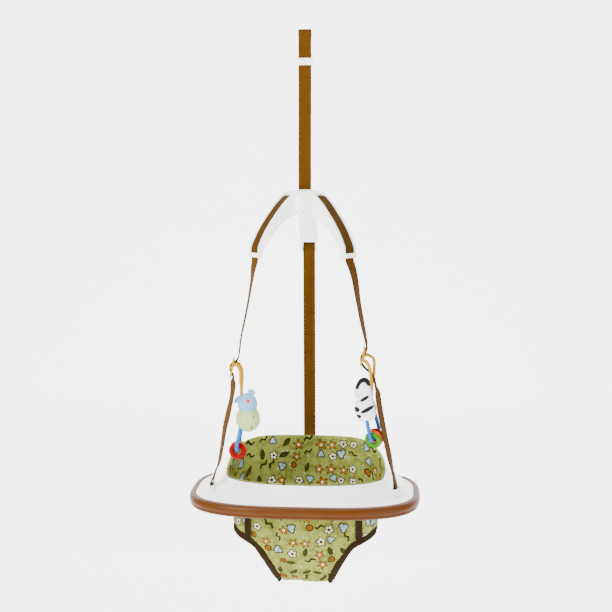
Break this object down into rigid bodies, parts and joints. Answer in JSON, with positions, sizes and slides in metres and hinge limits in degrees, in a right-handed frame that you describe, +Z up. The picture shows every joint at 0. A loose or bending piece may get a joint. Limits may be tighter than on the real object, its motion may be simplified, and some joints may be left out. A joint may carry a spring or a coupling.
{
  "type": "baby doorway jumper",
  "caption": "Hanging baby jumper: adjustable webbing strap, three-armed hanger, oval play tray with soft bumper, fabric bucket seat with leg openings and clip-on toys",
  "frame": {"origin": "top of the hanging loop, on the axis of the main strap, at rest", "axes": "+Z up, +Y from the front of the tray to its raised back, +X to the child's left hand side seen from the front as right"},
  "size_m": [0.596, 0.38, 1.423],
  "materials": {
    "webbing": "woven brown polyester webbing",
    "white_plastic": "moulded white plastic",
    "bumper": "soft brown edge roll, satin",
    "steel": "plain steel pins and screws",
    "seat_fabric": "printed sage green cotton over thin padding",
    "binding": "dark brown bound edge",
    "clip": "yellow plastic",
    "loop": "blue plastic",
    "ring_red": "red plastic",
    "ring_orange": "orange plastic",
    "ring_green": "green plastic",
    "plush_green": "pale green plush",
    "plush_blue": "light blue plush",
    "plush_white": "white plush with dark stripes",
    "plush_black": "black plush"
  },
  "bodies": {
    "root": {"hanging_strap": "webbing", "height_adjuster": "white_plastic", "strap_tail": "webbing"},
    "main_strap": {"main_strap": "webbing", "main_strap_loop": "webbing"},
    "hanger": {"hanger_shell": "white_plastic", "hanger_cover": "white_plastic", "hanger_crossbar": "steel", "arm_strap_back": "webbing", "arm_strap_left": "webbing", "arm_strap_right": "webbing", "cover_screw_front": "steel", "cover_screw_left": "steel", "cover_screw_right": "steel", "strap_keeper_back": "white_plastic", "strap_keeper_left": "white_plastic", "strap_keeper_right": "white_plastic"},
    "front_straps": {"front_strap_left": "webbing", "front_strap_right": "webbing"},
    "back_strap": {"back_strap": "webbing"},
    "left_toy": {"toy_clip_left": "clip", "ring_loop_left": "loop", "hippo_head": "plush_blue", "hippo_body": "plush_green", "hippo_ear_inner": "plush_blue", "hippo_ear_outer": "plush_blue"},
    "right_toy": {"toy_clip_right": "clip", "ring_loop_right": "loop", "zebra_head": "plush_white", "zebra_body": "plush_white", "zebra_snout": "plush_white", "zebra_mane": "plush_black"},
    "ring_red_left": {"ring_red_left": "ring_red"},
    "ring_orange_left": {"ring_orange_left": "ring_orange"},
    "ring_green_left": {"ring_green_left": "ring_green"},
    "ring_red_right": {"ring_red_right": "ring_red"},
    "ring_orange_right": {"ring_orange_right": "ring_orange"},
    "ring_green_right": {"ring_green_right": "ring_green"},
    "tray": {"anchor_pin_back": "steel", "anchor_pin_left": "steel", "anchor_pin_right": "steel", "leg_binding_left": "binding", "leg_binding_right": "binding", "seat_bucket": "seat_fabric", "seat_strap_left": "binding", "seat_strap_right": "binding", "strap_anchor_back": "white_plastic", "strap_anchor_left": "white_plastic", "strap_anchor_right": "white_plastic", "strap_loop_left": "webbing", "strap_loop_right": "webbing", "tray_base": "white_plastic", "tray_bumper": "bumper", "tray_screw_back_left": "steel", "tray_screw_back_right": "steel", "tray_screw_front_left": "steel", "tray_screw_front_right": "steel", "tray_top": "white_plastic"}
  },
  "joints": [
    {"name": "height_adjust", "type": "slide", "parent": "root", "child": "main_strap", "axis": [0, 0, 1], "range_m": [0, 0.1], "deforming": ["main_strap"]},
    {"name": "hanger_tilt", "type": "hinge", "parent": "main_strap", "child": "hanger", "pos_m": [0, 0, -0.427], "axis": [1, 0, 0], "range_deg": [-8, 8]},
    {"name": "tray_sway", "type": "hinge", "parent": "hanger", "child": "front_straps", "pos_m": [0, -0.08802, -0.55645], "axis": [1, 0, 0], "range_deg": [-3, 5]},
    {"name": "tray_level", "type": "hinge", "parent": "front_straps", "child": "tray", "pos_m": [0, -0.0605, -1.10415], "axis": [1, 0, 0], "range_deg": [-5.5, 5.5]},
    {"name": "back_strap_sway", "type": "hinge", "parent": "hanger", "child": "back_strap", "pos_m": [0, 0.14625, -0.55645], "axis": [1, 0, 0], "range_deg": [-5, 5]},
    {"name": "left_toy_swing", "type": "hinge", "parent": "front_straps", "child": "left_toy", "pos_m": [-0.177, -0.075, -0.836], "axis": [0, 1, 0], "range_deg": [-25, 0]},
    {"name": "right_toy_swing", "type": "hinge", "parent": "front_straps", "child": "right_toy", "pos_m": [0.1495, -0.075, -0.813], "axis": [0, 1, 0], "range_deg": [0, 20]},
    {"name": "ring_red_left_swing", "type": "hinge", "parent": "left_toy", "child": "ring_red_left", "pos_m": [-0.1637, -0.0855, -1.0448], "axis": [0, 1, 0], "range_deg": [-25, 25]},
    {"name": "ring_orange_left_swing", "type": "hinge", "parent": "left_toy", "child": "ring_orange_left", "pos_m": [-0.1637, -0.075, -1.0448], "axis": [0, 1, 0], "range_deg": [-25, 25]},
    {"name": "ring_green_left_swing", "type": "hinge", "parent": "left_toy", "child": "ring_green_left", "pos_m": [-0.1637, -0.0645, -1.0448], "axis": [0, 1, 0], "range_deg": [-25, 25]},
    {"name": "ring_green_right_swing", "type": "hinge", "parent": "right_toy", "child": "ring_green_right", "pos_m": [0.17654, -0.07292, -1.01455], "axis": [0.3868, 0.8688, 0.309], "range_deg": [-25, 25]},
    {"name": "ring_orange_right_swing", "type": "hinge", "parent": "right_toy", "child": "ring_orange_right", "pos_m": [0.1806, -0.0638, -1.0113], "axis": [0.3868, 0.8688, 0.309], "range_deg": [-25, 25]},
    {"name": "ring_red_right_swing", "type": "hinge", "parent": "right_toy", "child": "ring_red_right", "pos_m": [0.18466, -0.05468, -1.00805], "axis": [0.3868, 0.8688, 0.309], "range_deg": [-15, 25]}
  ],
  "couplings": [
    {"joint": "tray_level", "follows": "tray_sway", "ratio": -1},
    {"joint": "back_strap_sway", "follows": "tray_sway", "ratio": 0.914}
  ]
}
